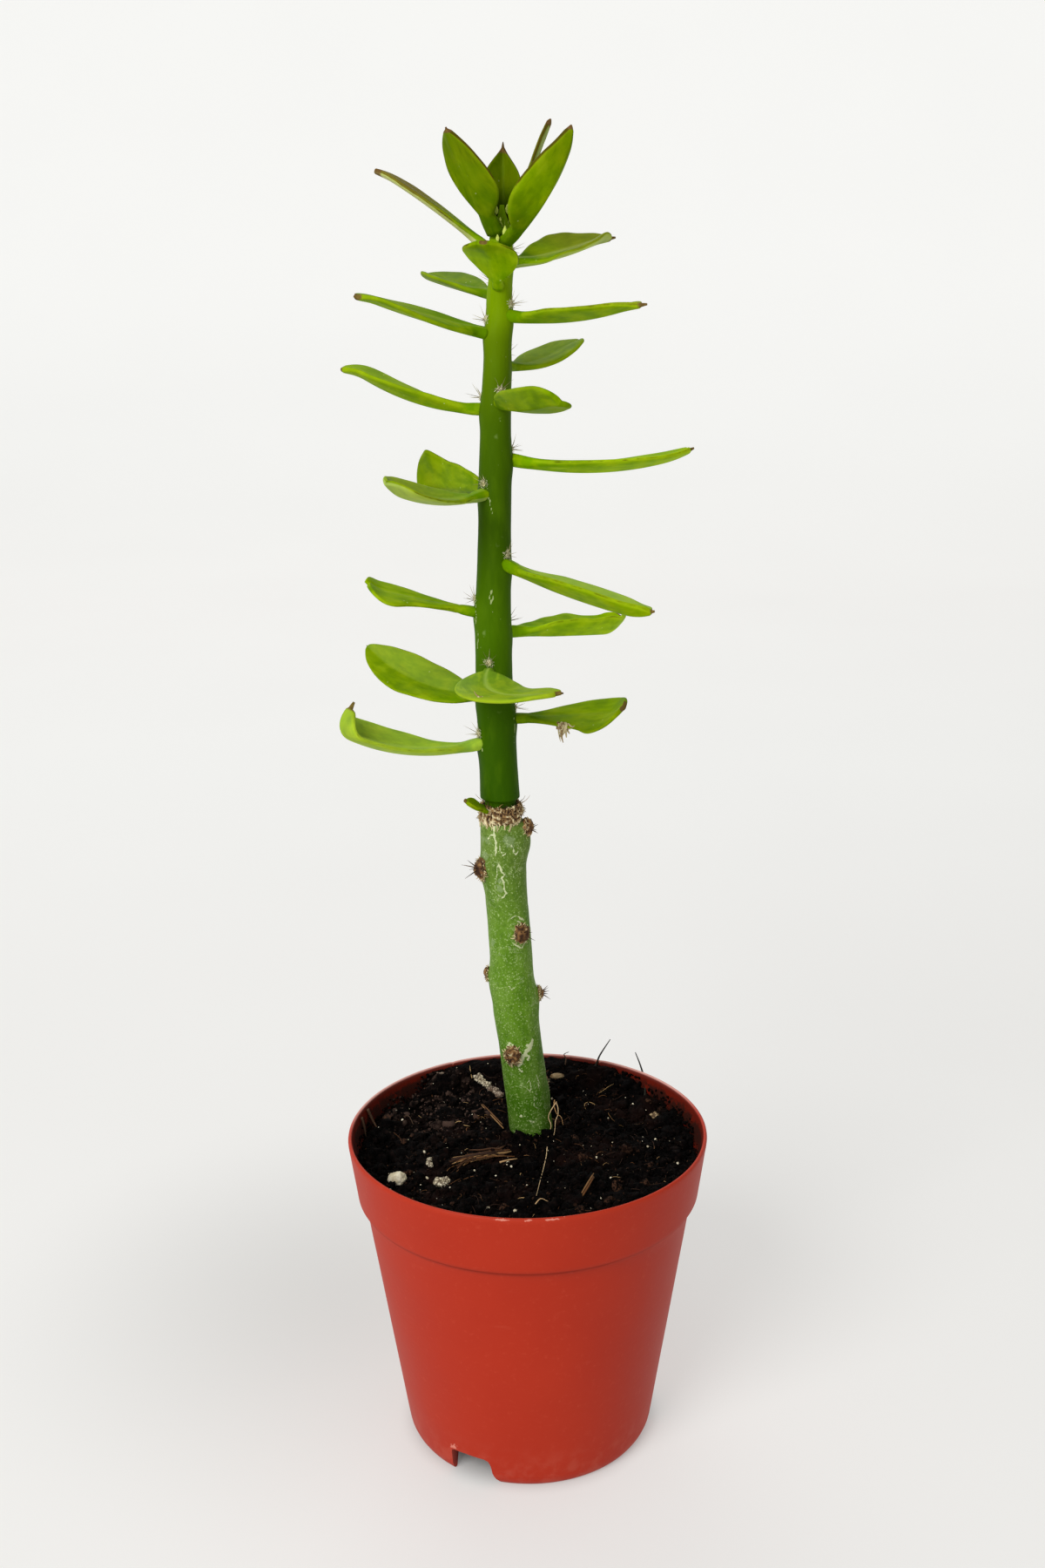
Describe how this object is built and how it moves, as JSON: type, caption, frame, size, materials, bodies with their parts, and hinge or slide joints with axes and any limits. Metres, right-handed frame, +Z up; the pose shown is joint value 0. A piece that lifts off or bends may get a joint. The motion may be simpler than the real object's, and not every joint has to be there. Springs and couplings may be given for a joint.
{
  "type": "potted leafy cactus cutting",
  "caption": "Rooted cutting of a leafy cactus: a smooth green stem with a spiral of small fleshy leaves, in soil in a small tapered plastic nursery pot.",
  "frame": {"origin": "Centre of the pot's foot ring, on the surface that the pot stands on.", "axes": "+Z is up along the plant. +X is to the right and +Y away from the viewer in the front view, with a drainage notch at the front left of the foot."},
  "size_m": [0.0548, 0.055, 0.1961],
  "materials": {
    "pot_plastic": "satin terracotta-red moulded polypropylene",
    "peat": "dark crumbly damp peat, stands in as a matt solid",
    "perlite": "cream porous perlite grain",
    "bark": "brown fibrous bark sliver",
    "old_stem_skin": "waxy grey-green stem skin with pale specks",
    "dry_bark": "dry papery cream and brown bark",
    "shoot_skin": "smooth fresh green stem skin with a soft sheen",
    "leaf_skin": "fleshy light green leaf with a soft sheen and brown points"
  },
  "bodies": {
    "root": {"pot": "pot_plastic", "soil": "peat", "perlite_1": "perlite", "perlite_2": "perlite", "perlite_3": "perlite", "perlite_4": "perlite", "perlite_5": "perlite", "perlite_6": "perlite", "perlite_7": "perlite", "perlite_8": "perlite", "bark_sliver_1": "bark", "bark_sliver_2": "bark", "bark_sliver_3": "bark", "old_stem": "old_stem_skin", "bark_ring": "dry_bark", "shoot": "shoot_skin", "leaf_basal": "leaf_skin", "leaf_01": "leaf_skin", "leaf_02": "leaf_skin", "leaf_03": "leaf_skin", "leaf_04": "leaf_skin", "leaf_05": "leaf_skin", "leaf_06": "leaf_skin", "leaf_07": "leaf_skin", "leaf_08": "leaf_skin", "leaf_09": "leaf_skin", "leaf_10": "leaf_skin", "leaf_11": "leaf_skin", "leaf_12": "leaf_skin", "leaf_13": "leaf_skin", "leaf_14": "leaf_skin", "leaf_15": "leaf_skin", "leaf_16": "leaf_skin", "leaf_17": "leaf_skin", "leaf_18": "leaf_skin", "leaf_19": "leaf_skin", "leaf_20": "leaf_skin", "leaf_21": "leaf_skin", "leaf_22": "leaf_skin", "leaf_23": "leaf_skin", "leaf_24": "leaf_skin"}
  },
  "joints": []
}
